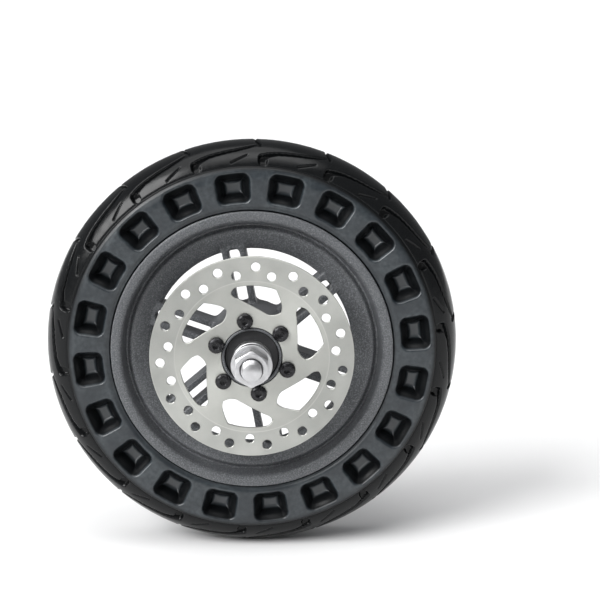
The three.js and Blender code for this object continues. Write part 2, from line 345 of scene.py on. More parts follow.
def powder_coat():
    """Dark grey paint with a fine sandy texture and a scatter of lighter grains."""
    s = Surface("rim_powder_coat", (0.09, 0.093, 0.098), 0.5)
    grains = s.ramp(s.noise(0.9, 2.0, 0.6), 0.42, 0.66)
    fine = s.ramp(s.noise(0.35, 1.0), 0.35, 0.65)
    speckle = s.math("MULTIPLY", grains, fine)
    cloud = s.ramp(s.noise(18.0, 3.0), 0.3, 0.7)
    ground = s.mix(cloud, PAINT_TONES["dark"], PAINT_TONES["light"])
    s.color(s.mix(speckle, ground, PAINT_TONES["grain"]))
    s.roughness(s.ramp(grains, 0.0, 1.0, 0.42, 0.58))
    coarse = s.bump(s.noise(0.9, 2.0, 0.6), 0.09, 0.6)
    s.bump(s.noise(0.4, 1.0), 0.03, 0.5, below=coarse)
    return s.material


STEEL_TONES = {  # the disc's, from dark to light
    "ground": ((0.43, 0.435, 0.41), (0.50, 0.505, 0.475)),
    "rubbed": ((0.38, 0.385, 0.365), (0.46, 0.465, 0.44)),
    "line": (0.53, 0.53, 0.505),
}
BAND_EDGES = ((45.2, 45.6), (59.4, 59.1))  # radii where the pads' band fades in and out
LINE_EDGES = ((44.9, 45.3), (45.8, 45.4))  # and the light line at its inner edge
GRAIN_STRENGTH = 0.7  # how far the disc's reflections are drawn out by its grain
GRIND_STRETCH = 0.06


def ground_stainless():
    """Stainless steel sheet, ground in arcs, with a darker, smoother band where the pads rub."""
    s = Surface("disc_ground_stainless", (0.45, 0.45, 0.42), 0.34, 1.0)
    ring_tangent = s.nodes.new("ShaderNodeTangent")
    ring_tangent.direction_type = "RADIAL"
    ring_tangent.axis = "Y"
    s.links.new(ring_tangent.outputs[0], s.shader.inputs["Tangent"])
    s.shader.inputs["Anisotropic"].default_value = GRAIN_STRENGTH
    arcs, radius = s.polar_place(GRIND_STRETCH)
    grind = s.noise(0.28, 4.0, 0.7, vector=arcs)
    straight = s.noise(0.45, 3.0, 0.6)
    band = s.math("MULTIPLY", *(s.fade(radius, edge) for edge in BAND_EDGES))
    cloud = s.ramp(s.noise(16.0, 4.0), 0.3, 0.7)
    ground = s.mix(cloud, *STEEL_TONES["ground"])
    rubbed = s.mix(cloud, *STEEL_TONES["rubbed"])
    line = s.math("MULTIPLY", *(s.fade(radius, edge) for edge in LINE_EDGES))
    s.color(s.mix(line, s.mix(band, ground, rubbed), STEEL_TONES["line"]))
    plain = s.ramp(straight, 0.3, 0.7, 0.36, 0.48)
    s.roughness(s.blend(band, plain, s.ramp(grind, 0.3, 0.7, 0.26, 0.40)))
    s.bump(grind, 0.012, 0.6)
    return s.material


TURNING_STRETCH = 0.02
CLOUD_SHADE = 0.82  # how dark plated steel's darker patches are, of its own colour


def plated_steel(name, color, roughness, grain_mm=0.5):
    """Turned and plated steel with faint turning marks."""
    s = Surface(name, color, roughness, 1.0)
    turning, _ = s.polar_place(TURNING_STRETCH)
    marks = s.noise(grain_mm, 3.0, 0.6, vector=turning)
    cloud = s.ramp(s.noise(4.0, 3.0), 0.3, 0.7)
    darker = tuple(CLOUD_SHADE * c for c in color)
    s.color(s.mix(cloud, darker, color))
    s.roughness(s.ramp(marks, 0.3, 0.7, roughness - 0.05, roughness + 0.1))
    s.bump(marks, 0.01, 0.5)
    return s.material


def black_oxide():
    s = Surface("bolt_black_oxide", (0.018, 0.018, 0.02), 0.32, 0.55)
    cloud = s.ramp(s.noise(1.6, 4.0), 0.35, 0.65)
    s.color(s.mix(cloud, (0.012, 0.012, 0.013), (0.030, 0.030, 0.033)))
    s.roughness(s.ramp(cloud, 0.0, 1.0, 0.20, 0.32))
    s.bump(s.noise(0.25, 2.0), 0.01, 0.5)
    return s.material


def matt_nitrile():
    s = Surface("nitrile_rubber", (0.016, 0.016, 0.017), 0.62)
    cloud = s.ramp(s.noise(2.5, 4.0), 0.3, 0.7)
    s.color(s.mix(cloud, (0.012, 0.012, 0.013), (0.024, 0.024, 0.026)))
    s.roughness(s.ramp(cloud, 0.0, 1.0, 0.55, 0.70))
    s.bump(s.noise(0.3, 2.0), 0.015, 0.5)
    return s.material


# ---------- tyre ----------

TYRE_RADIUS = node_size("tyre")[0] / 2.0
TYRE_BULGE = node_size("tyre")[1] / 2.0
CROWN_CENTRE = 102.2  # the tread is an arc about this radius
CROWN_ARC = TYRE_RADIUS - CROWN_CENTRE
SHOULDER_Y = 20.2
SHOULDER_ANGLE = math.asin(SHOULDER_Y / CROWN_ARC)
SHOULDER_RADIUS = 109.9
TYRE_COLUMNS = 1800
POCKETS = {
    "count": 20,
    "phase": 6.2,
    "middle": 97.6,  # radius
    "radial": 9.0,  # half height
    "wide": 10.4,  # half width at the middle
    "flare": 0.07,  # how fast the half width grows with the radius
}
POCKET_CORNER = 4.7
POCKET_DEPTH = 10.0
POCKET_WALL = 4.6  # how far each wall reaches in from the mouth
POCKET_BELLY = 1.3  # how much further it reaches in half way along
POCKET_BELLY_RUN = 4.0
POCKET_LIP = 0.18  # softness of the mouth's edge, in square mm
POCKET_FLOOR_BLEND = 3.2
POCKET_SKIN = 0.08
POCKET_FADE = (-3.0, -0.4)  # the hollow fades out this far outside the mouth
POCKETED_FROM = 87.0  # radius inside which the sidewall is plain
SEAM = {"depth": 0.5, "beyond": 0.3, "width": 0.4, "least_tilt": 0.9}  # line below the tread's edge
TREAD = {"count": 18, "phase": 6.5}
HOOK_DEPTHS = (3.0, 1.0)  # of the hooked groove, and how much deeper it is at the sidewall
HOOK_DEEPER = (17.5, 21.5)  # mm from the crown line between which it gets deeper
SIPE_DEPTH = 1.4
SLOT_DEPTH = 2.4

# Tread cuts of one pitch, as (degrees ahead of the pitch mark, mm from the crown line, half width).
HOOKED_GROOVE = [
    (0.0, 22.5, 3.1),
    (0.1, 20.4, 2.7),
    (-1.2, 18.5, 1.7),
    (-4.0, 16.8, 1.25),
    (-8.5, 15.6, 1.2),
    (-12.5, 14.4, 1.1),
    (-15.5, 12.6, 1.0),
    (-17.8, 10.6, 0.7),
]
SIDE_SIPE = [(-10.6, 23.2, 0.5), (-13.0, 21.0, 0.5), (-15.6, 18.4, 0.35)]
CROWN_SLOT = [(1.2, 10.3, 1.5), (1.9, 5.4, 1.35), (2.9, 0.0, 1.3)]


def spaced(points, step):
    """Points along a smooth curve through the given (radius, y) points, about step apart."""
    points = np.array(points, dtype=float)
    chord = np.concatenate([[0.0], np.cumsum(np.linalg.norm(np.diff(points, axis=0), axis=1))])
    fine = np.linspace(0.0, chord[-1], 400)
    tangent = np.gradient(points, chord, axis=0)
    k = np.clip(np.searchsorted(chord, fine, side="right") - 1, 0, len(points) - 2)
    h = (chord[k + 1] - chord[k])[:, None]
    t = ((fine - chord[k])[:, None]) / h
    a = (1 + 2 * t) * (1 - t) ** 2
    b = t * (1 - t) ** 2
    c = t * t * (3 - 2 * t)
    d = t * t * (t - 1)
    curve = a * points[k] + b * h * tangent[k] + c * points[k + 1] + d * h * tangent[k + 1]
    run = np.concatenate([[0.0], np.cumsum(np.linalg.norm(np.diff(curve, axis=0), axis=1))])
    stops = np.linspace(0.0, run[-1], max(2, round(run[-1] / step)) + 1)
    return np.stack([np.interp(stops, run, curve[:, i]) for i in range(2)], axis=1)


def tyre_half_outline():
    """(radius, |y|) from the foot inside the rim, over the sidewall, to the crown line."""
    foot = spaced([(79.7, 0.0), (79.7, 12.4)], 3.0)
    flank = spaced([(80.0, 12.9), (84.1, 19.6)], 1.5)
    strip = spaced([(84.3, 20.2), (84.35, 21.3), (84.7, 21.75), (85.6, 22.0)], 0.3)
    bead = spaced([(85.9, 22.1), (86.6, 22.45), (87.4, 22.72), (88.3, 22.86)], 0.3)
    side = spaced([(88.6, 22.88), (97.0, TYRE_BULGE), (105.0, 22.6), (107.5, 21.9)], 0.42)
    ridge = spaced([(107.8, 21.78), (109.0, 21.15), (109.6, 20.6)], 0.3)
    angles = np.linspace(SHOULDER_ANGLE, 0.0, round(SHOULDER_ANGLE * CROWN_ARC / 0.5) + 1)
    rise, out = CROWN_ARC * np.cos(angles), CROWN_ARC * np.sin(angles)
    crown = np.stack([CROWN_CENTRE + rise, out], axis=1)
    return np.concatenate([foot, flank, strip, bead, side, ridge, crown])


def wrapped(angle, pitch):
    return (angle + pitch / 2.0) % pitch - pitch / 2.0


def pocket_depth(radius, angle):
    """How deep the sidewall is hollowed at a radius and an angle in degrees."""
    pitch = 360.0 / POCKETS["count"]
    along = np.radians(wrapped(angle - POCKETS["phase"], pitch)) * radius
    out = radius - POCKETS["middle"]
    half = POCKETS["wide"] + POCKETS["flare"] * out
    x = np.abs(out) - (POCKETS["radial"] - POCKET_CORNER)
    z = np.abs(along) - (half - POCKET_CORNER)
    outside = np.hypot(np.maximum(x, 0.0), np.maximum(z, 0.0))
    inset = POCKET_CORNER - outside - np.minimum(np.maximum(x, z), 0.0)
    across = np.where(x > z, along / half, out / POCKETS["radial"])
    inset = inset - POCKET_BELLY * smoothstep(0.0, POCKET_BELLY_RUN, inset) * (1.0 - across**2)
    lip = 0.5 * (inset + np.sqrt(inset * inset + POCKET_LIP))
    depth = lip * POCKET_DEPTH / POCKET_WALL
    depth = smooth_min(depth, np.full_like(depth, POCKET_DEPTH), POCKET_FLOOR_BLEND)
    return np.maximum(depth - POCKET_SKIN, 0.0) * smoothstep(*POCKET_FADE, inset)


def cut_field(angle, from_crown, path):
    """Signed distance in mm to a tapered cut that repeats at every pitch of the tread."""
    pitch = 360.0 / TREAD["count"]
    mm_per_degree = math.radians(TYRE_RADIUS)
    local = wrapped(angle - TREAD["phase"], pitch)
    field = np.full(np.broadcast(local, from_crown).shape, 1e3)
    for shift in (-pitch, 0.0, pitch):
        u = (local + shift) * mm_per_degree
        for (a0, v0, w0), (a1, v1, w1) in zip(path[:-1], path[1:]):
            du = (a1 - a0) * mm_per_degree
            dv = v1 - v0
            u0 = a0 * mm_per_degree
            t = ((u - u0) * du + (from_crown - v0) * dv) / (du * du + dv * dv)
            t = np.clip(t, 0.0, 1.0)
            away = np.hypot(u - u0 - t * du, from_crown - v0 - t * dv)
            field = np.minimum(field, away - (w0 + t * (w1 - w0)))
    return field


def tread_depth(angle, from_crown):
    deepest = HOOK_DEPTHS[0] + HOOK_DEPTHS[1] * smoothstep(*HOOK_DEEPER, from_crown)
    hooked = deepest * smoothstep(0.2, -0.8, cut_field(angle, from_crown, HOOKED_GROOVE))
    sipe = SIPE_DEPTH * smoothstep(0.15, -0.4, cut_field(angle, from_crown, SIDE_SIPE))
    slot = SLOT_DEPTH * smoothstep(0.2, -0.7, cut_field(angle, from_crown, CROWN_SLOT))
    return np.maximum(np.maximum(hooked, sipe), slot)


def make_tyre(rubber):
    half = tyre_half_outline()
    near = half * np.array([1.0, -1.0])
    outline = np.concatenate([near, half[-2:0:-1]])
    angle = np.arange(TYRE_COLUMNS)[None, :] * 360.0 / TYRE_COLUMNS
    radius = outline[:, 0][:, None]
    y = outline[:, 1][:, None]

    tilt = np.arctan2(np.abs(y), radius - CROWN_CENTRE)
    on_crown = (radius > SHOULDER_RADIUS - 0.2) & (tilt <= SHOULDER_ANGLE + 0.01)
    cut = np.where(on_crown, tread_depth(angle, tilt * CROWN_ARC), 0.0)
    off_seam = (radius - SHOULDER_RADIUS - SEAM["beyond"]) / SEAM["width"]
    seam = SEAM["depth"] * np.exp(-(off_seam**2)) * (tilt > SEAM["least_tilt"])
    cut = np.maximum(cut, seam)
    inner = (radius > POCKETED_FROM) & (radius < SHOULDER_RADIUS)
    inner &= tilt > SHOULDER_ANGLE - 0.02
    hollow = np.where(inner, pocket_depth(radius, angle), 0.0)

    radial = radius - cut * np.cos(tilt)
    side = np.sign(y)
    axial = y - side * (cut * np.sin(tilt) + hollow)
    turn = np.radians(angle)
    points = np.stack([radial * np.cos(turn), axial + 0.0 * turn, radial * np.sin(turn)], axis=2)
    mesh = fast_mesh("tyre_moulded", points.reshape(-1, 3), torus_quads(len(outline), TYRE_COLUMNS))
    add_object("tyre_moulded", mesh, rubber, "wheel", ["tyre"])


# ---------- rim casting ----------

RIM_VOXEL = 0.5
RIM_CORNERS = [  # (radius, y, fillet) of the barrel's section, counter-clockwise
    (60.0, -10.7, 0.6),
    (64.0, -13.5, 6.0),
    (68.2, -15.5, 6.0),
    (72.4, -16.7, 2.0),
    (74.3, -13.7, 1.0),
    (75.5, -13.9, 1.4),
    (77.6, -23.5, 2.8),
    (83.9, -23.5, 0.6),
    (83.9, -20.7, 0.3),
    (79.0, -13.0, 0.8),
    (79.0, 13.0, 0.8),
    (83.9, 20.7, 0.3),
    (83.9, 23.5, 0.6),
    (77.6, 23.5, 2.8),
    (75.5, 13.9, 1.4),
    (74.3, 13.7, 1.0),
    (72.4, 16.5, 1.9),
    (70.2, 16.3, 1.0),
    (67.0, -1.5, 3.0),
    (60.0, -3.2, 0.8),
]
CAP_MOUTH = {"radius": 16.0, "y": 33.0}  # where a dust cap sits, and its shoulder
BEARING_SEAT = {"radius": 14.3, "y": 23.7}  # where a bearing sits, and its shoulder
HUB_BORE = 11.6
HUB_CORNERS = [
    (16.0, -38.2, 0.4),
    (17.5, -38.2, 0.4),
    (17.5, -36.2, 0.0),
    (26.5, -36.2, 0.8),
    (26.5, 4.0, 2.0),
    (21.0, 12.0, 3.0),
    (19.5, 36.0, 0.8),
    (16.0, 36.0, 0.4),
    (16.0, 33.0, 0.0),
    (14.3, 33.0, 0.0),
    (14.3, 23.7, 0.0),
    (11.6, 23.7, 0.0),
    (11.6, -23.7, 0.0),
    (14.3, -23.7, 0.0),
    (14.3, -33.0, 0.0),
    (16.0, -33.0, 0.0),
]
SPOKES = {
    "count": 6,
    "phase": 100.3,
    "front": -13.0,
    "back": 4.0,
    "inner": 22.5,
    "outer": 69.5,
    "half": 7.3,  # half width of the pair of bars
    "slot": 3.3,  # half width of the slot between them
    "slot_end": 61.0,
}
BLENDS = {"slot": 0.5, "bar_edge": 1.0, "barrel": 0.4, "hub": 2.6}  # roundings, in mm
BOLTS = {"count": 6, "phase": 100.3, "circle": 22.0, "hole": 2.8, "hole_end": -24.0}
SECTION_STEP = 0.2  # of the radii at which the barrel's and the hub's sections are sampled
SECTION_REACH = 132.0
RIM_REACH = 86.0
RIM_ALONG = (-40.0, 38.0)


def outline_field(outline, r, y):
    """Signed distance from each (r, y) to a closed outline, negative inside."""
    outline = np.array(outline, dtype=np.float32)
    nearest = np.full(r.shape, 1e9, dtype=np.float32)
    inside = np.zeros(r.shape, dtype=bool)
    for (r0, y0), (r1, y1) in zip(outline, np.roll(outline, -1, axis=0)):
        dr, dy = r1 - r0, y1 - y0
        length = dr * dr + dy * dy
        if length < 1e-10:
            continue
        t = np.clip(((r - r0) * dr + (y - y0) * dy) / length, 0.0, 1.0)
        nearest = np.minimum(nearest, (r - r0 - t * dr) ** 2 + (y - y0 - t * dy) ** 2)
        crosses = (y0 <= y) != (y1 <= y)
        if dy != 0.0:
            inside ^= crosses & (r < r0 + (y - y0) * dr / dy)
    return np.where(inside, -1.0, 1.0) * np.sqrt(nearest)


def bar_field(x, z, y):
    """Signed distance to one spoke that points along +x: two bars joined by a round arch."""
    half, slot, arch = SPOKES["half"], SPOKES["slot"], SPOKES["slot_end"] - SPOKES["slot"]
    hollow = np.hypot(np.maximum(x - arch, 0.0), z) - slot
    ends = np.maximum(x - SPOKES["outer"], SPOKES["inner"] - x)
    plan = np.maximum(np.abs(z) - half, ends)
    plan = smooth_max(plan, -hollow, BLENDS["slot"])
    middle = (SPOKES["front"] + SPOKES["back"]) / 2.0
    depth = np.abs(y - middle) - (SPOKES["back"] - SPOKES["front"]) / 2.0
    return smooth_max(plan, depth, BLENDS["bar_edge"])


def rim_field(x, y, z):
    """Signed distance to the whole casting."""
    radius = np.hypot(x, z)
    steps_r = np.arange(0.0, SECTION_REACH, SECTION_STEP, dtype=np.float32)
    steps_y = y[0, :, 0]
    grid_r, grid_y = np.meshgrid(steps_r, steps_y, indexing="ij")
    barrel_map = outline_field(rounded_outline(RIM_CORNERS), grid_r, grid_y)
    hub_map = outline_field(rounded_outline(HUB_CORNERS), grid_r, grid_y)
    step = radius[:, 0, :] / SECTION_STEP
    low = np.minimum(step.astype(int), len(steps_r) - 2)
    part = (step - low)[:, None, :].astype(np.float32)

    def spin(section):
        below = section[low].transpose(0, 2, 1)
        above = section[low + 1].transpose(0, 2, 1)
        return below * (1.0 - part) + above * part

    pitch = 360.0 / SPOKES["count"]
    angle = np.degrees(np.arctan2(z[:, :1, :], x[:, :1, :]))
    local = np.radians(wrapped(angle - SPOKES["phase"], pitch))
    spokes = bar_field(radius * np.cos(local), radius * np.sin(local), y)
    field = smooth_min(spin(barrel_map), spokes, BLENDS["barrel"])
    field = smooth_min(field, spin(hub_map), BLENDS["hub"])
    turn = np.radians(wrapped(angle - BOLTS["phase"], 360.0 / BOLTS["count"]))
    hole = np.hypot(radius * np.cos(turn) - BOLTS["circle"], radius * np.sin(turn)) - BOLTS["hole"]
    hole = np.maximum(hole, y - BOLTS["hole_end"])
    out = np.abs(y)
    bore = np.maximum(radius - BEARING_SEAT["radius"], out - CAP_MOUTH["y"])
    bore = np.minimum(bore, np.maximum(radius - CAP_MOUTH["radius"], CAP_MOUTH["y"] - out))
    inside_bore = np.where(out < BEARING_SEAT["y"], radius - HUB_BORE, bore)
    field = np.maximum(field, -hole)
    return np.maximum(field, -inside_bore)


def make_rim(coat):
    across = np.arange(-RIM_REACH, RIM_REACH + RIM_VOXEL, RIM_VOXEL, dtype=np.float32)
    along = np.arange(*RIM_ALONG, RIM_VOXEL, dtype=np.float32)
    x = across[:, None, None]
    y = along[None, :, None]
    z = across[None, None, :]
    field = rim_field(x + 0 * z, y, z + 0 * x).astype(np.float32)
    grid = openvdb.FloatGrid(5.0)
    grid.copyFromArray(field)
    points, triangles, quads = grid.convertToPolygons(isovalue=0.0, adaptivity=0.02)
    points = points * RIM_VOXEL + np.array([across[0], along[0], across[0]])
    faces = [tuple(int(i) for i in face) for face in (*quads, *triangles)]
    mesh = mesh_from("rim_cast", points, faces)
    add_object("rim_cast", mesh, coat, "wheel", ["rim_casting"])


# ---------- brake disc ----------

DISC = {"radius": 60.0, "front": -38.1, "back": -36.3, "bore": 17.8, "chamfer": 0.28}
DISC_HOLES = [  # (count, circle radius, phase, hole radius)
    (15, 53.8, 111.3, 2.75),
    (15, 49.3, 124.3, 2.7),
    (6, 22.0, 100.3, 2.7),
]
OUTLINE_POINTS = {"edge": 360, "bore": 180, "hole": 40}
WINDOW_COUNT = 6
WINDOW_STEPS = {"arc": 24, "curve": 12}
WINDOW_ARC = (42.7, 190.5, 221.5)  # radius, first angle, last angle
WINDOW_CURVES = [  # (control radius, control angle, end radius, end angle) of each quadratic curve
    (42.2, 225.5, 40.2, 227.2),
    (37.6, 227.5, 35.6, 222.5),
    (31.0, 210.0, 27.1, 190.0),
    (27.6, 182.0, 31.5, 177.5),
    (33.5, 178.0, 35.5, 180.5),
    (39.6, 185.6, 42.7, 190.5),
]


def circle_points(x, z, radius, count):
    turns = [2.0 * math.pi * i / count for i in range(count)]
    return [(x + radius * math.cos(t), z + radius * math.sin(t)) for t in turns]


def window_points(turn):
    """The outline of one disc window, turned about the axis."""
    radius, first, last = WINDOW_ARC
    steps = WINDOW_STEPS["arc"]
    points = [polar(radius, first + turn + (last - first) * i / steps) for i in range(steps + 1)]
    for control_radius, control_angle, end_radius, end_angle in WINDOW_CURVES:
        start = points[-1]
        control = polar(control_radius, control_angle + turn)
        end = polar(end_radius, end_angle + turn)
        for i in range(1, WINDOW_STEPS["curve"] + 1):
            t = i / WINDOW_STEPS["curve"]
            a, b, c = (1.0 - t) ** 2, 2.0 * t * (1.0 - t), t * t
            points.append(tuple(a * start[k] + b * control[k] + c * end[k] for k in range(2)))
    return points[:-1]


def plate_mesh(name, outlines, front, back, chamfer):
    """A flat plate across the axis with chamfered edges, from closed (x, z) outlines in mm."""
    curve = bpy.data.curves.new(name, "CURVE")
    curve.dimensions = "2D"
    curve.fill_mode = "BOTH"
    curve.offset = -chamfer * MM
    curve.extrude = ((back - front) / 2.0 - chamfer) * MM
    curve.bevel_depth = chamfer * MM
    curve.bevel_resolution = 0
    for outline in outlines:
        spline = curve.splines.new("POLY")
        spline.points.add(len(outline) - 1)
        for point, (x, z) in zip(spline.points, outline):
            point.co = (x * MM, z * MM, 0.0, 1.0)
        spline.use_cyclic_u = True
    holder = bpy.data.objects.new(name, curve)
    bpy.context.scene.collection.objects.link(holder)
    finished = holder.evaluated_get(bpy.context.evaluated_depsgraph_get())
    mesh = bpy.data.meshes.new_from_object(finished)
    bpy.data.objects.remove(holder)
    bpy.data.curves.remove(curve)
    middle = (front + back) / 2.0 * MM
    mesh.transform(Matrix(((1, 0, 0, 0), (0, 0, -1, middle), (0, 1, 0, 0), (0, 0, 0, 1))))
    work = bmesh.new()
    work.from_mesh(mesh)
    bmesh.ops.remove_doubles(work, verts=work.verts, dist=1e-7)
    bmesh.ops.recalc_face_normals(work, faces=work.faces)
    work.to_mesh(mesh)
    work.free()
    mesh.materials.clear()
    mesh.shade_smooth()
    mesh.set_sharp_from_angle(angle=math.radians(25.0))
    return mesh


def make_disc(stainless):
    outlines = [
        circle_points(0.0, 0.0, DISC["radius"], OUTLINE_POINTS["edge"]),
        circle_points(0.0, 0.0, DISC["bore"], OUTLINE_POINTS["bore"]),
    ]
    for count, circle, phase, radius in DISC_HOLES:
        for i in range(count):
            x, z = polar(circle, phase + 360.0 * i / count)
            outlines.append(circle_points(x, z, radius, OUTLINE_POINTS["hole"]))
    for i in range(WINDOW_COUNT):
        outlines.append(window_points(360.0 / WINDOW_COUNT * i))
    mesh = plate_mesh("brake_disc_plate", outlines, DISC["front"], DISC["back"], DISC["chamfer"])
    add_object("brake_disc_plate", mesh, stainless, "wheel", ["brake_disc"])


# ---------- fasteners and axle ----------


def hexagon(across_flats, angle):
    """Radius at each angle, in radians, of a hexagon with a width across flats."""
    return across_flats / 2.0 / np.cos((angle + math.pi / 6.0) % (math.pi / 3.0) - math.pi / 6.0)


def lofted_mesh(name, rows, columns, centre=(0.0, 0.0), ends="closed", sharp=30.0):
    """A solid about an axis along Y from rows of (radius, y).

    A radius is a number or a function of an array of angles. With closed ends the first and last
    rows are each filled by one face; with ring ends the last row joins the first.
    """
    angle = np.arange(columns) * 2.0 * math.pi / columns
    points = []
    for radius, y in rows:
        r = radius(angle) if callable(radius) else np.full(columns, float(radius))
        x, z = centre[0] + r * np.cos(angle), centre[1] + r * np.sin(angle)
        points.append(np.stack([x, np.full(columns, y), z], 1))
    points = np.concatenate(points)
    count = len(rows)
    if ends == "ring":
        faces = [tuple(int(v) for v in quad) for quad in torus_quads(count, columns)]
    else:
        faces = []
        for i in range(count - 1):
            for j in range(columns):
                k = (j + 1) % columns
                here, above = i * columns, (i + 1) * columns
                faces.append((here + j, above + j, above + k, here + k))
        faces.append(tuple(range(columns)))
        faces.append(tuple(reversed(range((count - 1) * columns, count * columns))))
    mesh = mesh_from(name, points, faces)
    mesh.set_sharp_from_angle(angle=math.radians(sharp))
    return mesh


BOLT = {
    "shank": 2.45,
    "head": 4.8,
    "height": 2.75,
    "seat": -38.3,
    "length": 11.5,
    "socket": 3.5,  # across flats
    "sunk": 1.9,
    "flat": 2.75,  # radius of the flat ring round the socket, where the dome begins
    "edge": 0.10,  # drop from that ring to the dome
    "dome": 2.0,
    "twist": 17.0,  # degrees from one screw's socket to the next
    "columns": 72,
}
DOME_FROM, DOME_STEP, DOME_STEPS = 30.0, 7.5, 8  # degrees, degrees and rows


def make_bolts(oxide):
    """Six button-head screws with hex sockets."""
    top = BOLT["seat"] - BOLT["height"]
    for i in range(BOLTS["count"]):
        place = BOLTS["phase"] + i * 360.0 / BOLTS["count"]
        twist = math.radians(BOLT["twist"] * i)

        def hexed(size):
            return lambda angle: hexagon(size, angle + twist)

        def rounded(size, circle, amount):
            return lambda angle: (1.0 - amount) * hexagon(size, angle + twist) + amount * circle

        rows = [
            (hexed(0.3), top + BOLT["sunk"] + 0.35),
            (hexed(BOLT["socket"] * 0.93), top + BOLT["sunk"]),
            (hexed(BOLT["socket"]), top + BOLT["sunk"] - 0.12),
            (hexed(BOLT["socket"]), top + 0.28),
            (rounded(BOLT["socket"] + 0.3, 2.15, 0.35), top + 0.12),
            (rounded(BOLT["socket"] + 0.6, 2.3, 0.8), top + 0.01),
            (2.42, top),
            (BOLT["flat"], top + BOLT["edge"]),
        ]
        for step in range(1, DOME_STEPS + 1):
            turn = math.radians(DOME_FROM + step * DOME_STEP)
            radius = BOLT["flat"] + (BOLT["head"] - BOLT["flat"]) * math.sin(turn)
            rows.append((radius, top + BOLT["edge"] + BOLT["dome"] * (1.0 - math.cos(turn))))
        rows += [
            (BOLT["head"], BOLT["seat"] - 0.30),
            (BOLT["head"] - 0.18, BOLT["seat"]),
            (BOLT["shank"] + 0.25, BOLT["seat"]),
            (BOLT["shank"], BOLT["seat"] + 0.25),
            (BOLT["shank"], BOLT["seat"] + BOLT["length"] - 0.5),
            (BOLT["shank"] - 0.5, BOLT["seat"] + BOLT["length"]),
        ]
        name = f"disc_screw_{i + 1}"
        mesh = lofted_mesh(name, rows, BOLT["columns"], centre=polar(BOLTS["circle"], place))
        add_object(name, mesh, oxide, "wheel", [f"disc_bolt_{i + 1}"])


AXLE = {"radius": 5.85, "half": 75.0, "chamfer": 0.9, "plain_rows": 60, "columns": 72}
THREAD = {"pitch": 1.25, "depth": 0.62, "start": 50.5, "row": 0.125, "fade": 1.2}


def make_axle(steel):
    """A through axle, threaded at both ends."""
    radius, half, start = AXLE["radius"], AXLE["half"], THREAD["start"]
    ys = np.concatenate(
        [
            np.arange(-half, -start, THREAD["row"]),
            np.linspace(-start, start, AXLE["plain_rows"]),
            np.arange(start + THREAD["row"], half + 0.01, THREAD["row"]),
        ]
    )
    rows = []
    for y in ys[::-1]:
        chamfer = max(0.0, AXLE["chamfer"] - (half - abs(y)))
        fade = min(1.0, max(0.0, (abs(y) - start) / THREAD["fade"]))

        def ridge(angle, y=y, chamfer=chamfer, fade=fade):
            turn = (y / THREAD["pitch"] + angle / (2.0 * math.pi)) % 1.0
            groove = np.clip(1.6 - 3.6 * np.abs(turn - 0.5), 0.0, 1.0)
            return np.minimum(radius - THREAD["depth"] * fade * groove, radius - chamfer)

        rows.append((ridge, float(y)))
    mesh = lofted_mesh("axle_shaft", rows[::-1], AXLE["columns"], sharp=60.0)
    add_object("axle_shaft", mesh, steel, "axle", ["axle"])


NUT = {
    "inner": 58.45,
    "outer": 68.15,
    "flats": 19.0,
    "bore": 6.05,
    "bore_edge": 0.9,
    "face": 8.6,  # radius of the flat end
    "cone": 9.1,  # radius where the cone that turns off the corners begins
    "cone_height": 1.05,
    "corner_cut": 0.25,
    "end": 1.6,  # length at each end that has closely spaced rows
    "end_rows": 12,
    "columns": 120,
}


def make_nut(name, side, steel, node):
    """A hex nut with the corners turned off at both ends."""
    inner, outer, bore, edge = (NUT[key] for key in ("inner", "outer", "bore", "bore_edge"))
    rows = []
    corner = NUT["flats"] / 2.0 / math.cos(math.pi / 6.0)
    first = np.linspace(inner, inner + NUT["end"], NUT["end_rows"])
    last = np.linspace(outer - NUT["end"], outer, NUT["end_rows"])
    for y in np.concatenate([first, last]):
        from_end = min(y - inner, outer - y)
        cone = NUT["cone"] + from_end * (corner - NUT["cone"]) / NUT["cone_height"]

        def faces(angle, cone=cone):
            circle = np.full_like(angle, corner - NUT["corner_cut"])
            return np.minimum(smooth_min(hexagon(NUT["flats"], angle), circle, 0.2), cone)

        rows.append((faces, float(y)))
    rows += [(NUT["face"], outer), (bore + edge, outer), (bore, outer - edge)]
    rows += [(bore, inner + edge), (bore + edge, inner), (NUT["face"], inner)]
    if side < 0:
        rows = [(r, -y) for r, y in rows][::-1]
    mesh = lofted_mesh(name, rows, NUT["columns"], ends="ring", sharp=28.0)
    add_object(name, mesh, steel, "axle", [node])


TURNED_SEGMENTS = 144
TURNED_SHARP = 35.0


def turned_piece(name, corners, side, material, body, slot, nodes):
    """A turned ring whose corners are given for the +Y side."""
    if side < 0:
        corners = [(r, -y, fillet) for r, y, fillet in corners][::-1]
    mesh = turned_mesh(name, corners, TURNED_SEGMENTS)
    mesh.set_sharp_from_angle(angle=math.radians(TURNED_SHARP))
    add_object(name, mesh, material, body, nodes)


SPACER_CORNERS = [(6.15, -23.7, 0.4), (8.0, -23.7, 0.4), (8.0, 23.7, 0.4), (6.15, 23.7, 0.4)]
BUSH_CORNERS = [
    (6.1, 32.3, 0.3),
    (9.0, 32.3, 0.3),
    (9.0, 42.0, 0.6),
    (11.5, 43.5, 0.5),
    (11.5, 50.0, 0.6),
    (6.1, 50.0, 0.3),
]
CAP_CORNERS = [(9.6, 33.3, 0.2), (15.7, 33.3, 0.3), (15.7, 35.5, 0.5), (9.6, 35.5, 0.4)]
WASHER_CORNERS = [(6.15, 56.0, 0.2), (12.0, 56.0, 0.35), (12.0, 58.0, 0.35), (6.15, 58.0, 0.2)]


